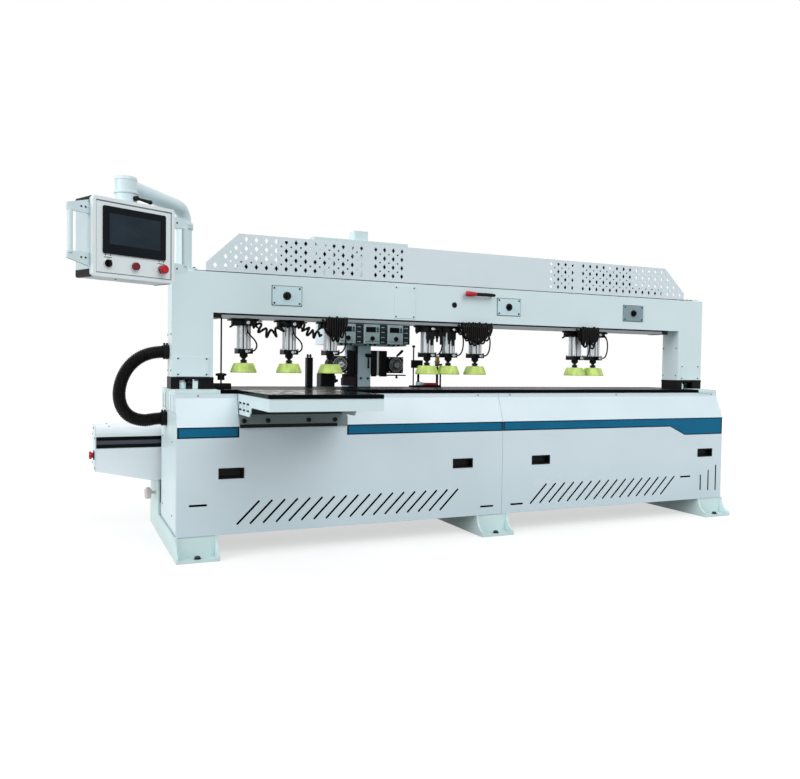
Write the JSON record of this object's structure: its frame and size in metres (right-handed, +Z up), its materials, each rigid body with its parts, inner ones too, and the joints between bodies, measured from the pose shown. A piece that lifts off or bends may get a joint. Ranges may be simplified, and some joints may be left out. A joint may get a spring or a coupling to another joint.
{
  "type": "side hole drilling machine",
  "caption": "Long floor-standing woodworking machine: a table under a portal with air presses, a travelling head that drills board edges from behind, and a swing-arm control box.",
  "frame": {"origin": "floor level, at the centre of the four corner anchor holes", "axes": "+Z up, +X to the operator's right along the table, -Y towards the operator at the front"},
  "size_m": [3.7701, 1.498, 1.69],
  "materials": {
    "white_paint": "semi-gloss powder coat with a cool tint",
    "black_paint": "black satin coat",
    "grey_paint": "grey satin coat",
    "slate_paint": "blue-grey satin coat",
    "aluminium": "drawn and anodised",
    "steel": "ground",
    "black_plastic": "moulded, matte",
    "lime_pad": "cast polyurethane, matte",
    "hose": "black hose",
    "red_plastic": "moulded, glossy",
    "screen": "black glass front",
    "inverter_grey": "moulded, matte"
  },
  "bodies": {
    "base": {"floor_feet": "white_paint", "base_frame": "white_paint", "front_cover_left": "white_paint", "front_cover_right": "white_paint", "cabinet_covers": "white_paint", "extension_frame": "white_paint", "x_beam_cover": "white_paint", "x_end_plates": "white_paint", "columns": "white_paint", "cross_beam": "white_paint", "perforated_cover": "white_paint", "control_post": "white_paint", "table_top": "black_paint", "extension_top": "black_paint", "column_bases": "black_paint", "press_caps": "black_paint", "side_stops": "black_paint", "extension_support": "grey_paint", "switch_plates": "grey_paint", "x_beam": "grey_paint", "press_rail": "aluminium", "press_cylinders": "aluminium", "x_rails": "steel", "cover_pulls": "black_plastic", "hose_cuffs": "black_plastic", "conduit_hose": "hose", "spiral_hose_1": "hose", "spiral_hose_2": "hose", "air_tubes": "hose", "hose_bundles": "hose"},
    "end_stop_button": {"end_stop_button": "red_plastic"},
    "zone_selector_1": {"zone_selector_1": "black_plastic"},
    "zone_selector_2": {"zone_selector_2": "black_plastic"},
    "zone_selector_3": {"zone_selector_3": "black_plastic"},
    "press_zone_1": {"press_rods_1": "steel", "press_pads_1": "lime_pad"},
    "press_zone_2": {"press_rods_2": "steel", "press_pads_2": "lime_pad"},
    "press_zone_3": {"press_rods_3": "steel", "press_pads_3": "lime_pad"},
    "control_arm": {"control_arm": "white_paint"},
    "control_box": {"control_box": "white_paint", "control_panel": "white_paint", "hmi_display": "screen", "box_handles": "white_paint"},
    "clamp_lever": {"clamp_lever": "black_plastic"},
    "panel_selector": {"panel_selector": "black_plastic"},
    "start_button": {"start_button": "red_plastic"},
    "emergency_button": {"emergency_button": "red_plastic"},
    "x_carriage": {"x_saddle": "black_paint", "x_drive_motor": "black_paint"},
    "x_pinion": {"x_pinion": "steel"},
    "head_slide": {"head_slide": "slate_paint", "head_hood": "white_paint", "z_servo_motor": "white_paint", "inverters": "inverter_grey"},
    "z_slide": {"z_slide": "slate_paint", "spindle_motors": "black_paint"},
    "tool_shaft_left": {"tool_shaft_left": "steel"},
    "tool_shaft_right": {"tool_shaft_right": "steel"}
  },
  "joints": [
    {"name": "end_stop_push", "type": "slide", "parent": "base", "child": "end_stop_button", "axis": [1, 0, 0], "range_m": [0, 0.004]},
    {"name": "zone_selector_1_turn", "type": "hinge", "parent": "base", "child": "zone_selector_1", "pos_m": [-1.095, -0.267, 1.237], "axis": [0, -1, 0], "range_deg": [-45, 45]},
    {"name": "zone_selector_2_turn", "type": "hinge", "parent": "base", "child": "zone_selector_2", "pos_m": [0.197, -0.267, 1.237], "axis": [0, -1, 0], "range_deg": [-45, 45]},
    {"name": "zone_selector_3_turn", "type": "hinge", "parent": "base", "child": "zone_selector_3", "pos_m": [1.088, -0.267, 1.237], "axis": [0, -1, 0], "range_deg": [-45, 45]},
    {"name": "press_zone_1_stroke", "type": "slide", "parent": "base", "child": "press_zone_1", "axis": [0, 0, -1], "range_m": [0, 0.075]},
    {"name": "press_zone_2_stroke", "type": "slide", "parent": "base", "child": "press_zone_2", "axis": [0, 0, -1], "range_m": [0, 0.075]},
    {"name": "press_zone_3_stroke", "type": "slide", "parent": "base", "child": "press_zone_3", "axis": [0, 0, -1], "range_m": [0, 0.075]},
    {"name": "control_arm_swing", "type": "hinge", "parent": "base", "child": "control_arm", "pos_m": [-1.585, -0.194, 1.55], "axis": [0, 0, 1], "range_deg": [-55, 35]},
    {"name": "control_box_swivel", "type": "hinge", "parent": "control_arm", "child": "control_box", "pos_m": [-1.88, -0.595, 1.56], "axis": [0, 0, 1], "range_deg": [-60, 60]},
    {"name": "clamp_lever_turn", "type": "hinge", "parent": "control_arm", "child": "clamp_lever", "pos_m": [-1.84017, -0.63483, 1.574], "axis": [0.7071, -0.7071, 0], "range_deg": [0, 60]},
    {"name": "panel_selector_turn", "type": "hinge", "parent": "control_box", "child": "panel_selector", "pos_m": [-1.95449, -0.70536, 1.291], "axis": [0.4446, -0.8957, 0], "range_deg": [-45, 45]},
    {"name": "start_button_push", "type": "slide", "parent": "control_box", "child": "start_button", "axis": [-0.4446, 0.8957, 0], "range_m": [0, 0.003], "stiffness_N_per_m": 900},
    {"name": "emergency_button_push", "type": "slide", "parent": "control_box", "child": "emergency_button", "axis": [-0.4446, 0.8957, 0], "range_m": [0, 0.004]},
    {"name": "x_travel", "type": "slide", "parent": "base", "child": "x_carriage", "axis": [1, 0, 0], "range_m": [-1.27, 1.87]},
    {"name": "x_pinion_turn", "type": "hinge", "parent": "x_carriage", "child": "x_pinion", "pos_m": [-0.65, 0.446, 0.507], "axis": [0, 0, 1], "continuous": true},
    {"name": "feed_travel", "type": "slide", "parent": "x_carriage", "child": "head_slide", "axis": [0, -1, 0], "range_m": [0, 0.06]},
    {"name": "z_travel", "type": "slide", "parent": "head_slide", "child": "z_slide", "axis": [0, 0, 1], "range_m": [-0.116, 0.02]},
    {"name": "tool_shaft_left_spin", "type": "hinge", "parent": "z_slide", "child": "tool_shaft_left", "pos_m": [-0.635, 0.235, 0.9], "axis": [0, 1, 0], "continuous": true},
    {"name": "tool_shaft_right_spin", "type": "hinge", "parent": "z_slide", "child": "tool_shaft_right", "pos_m": [-0.279, 0.235, 0.9], "axis": [0, 1, 0], "continuous": true}
  ],
  "couplings": [
    {"joint": "x_pinion_turn", "follows": "x_travel", "rad_per_m": -50}
  ]
}
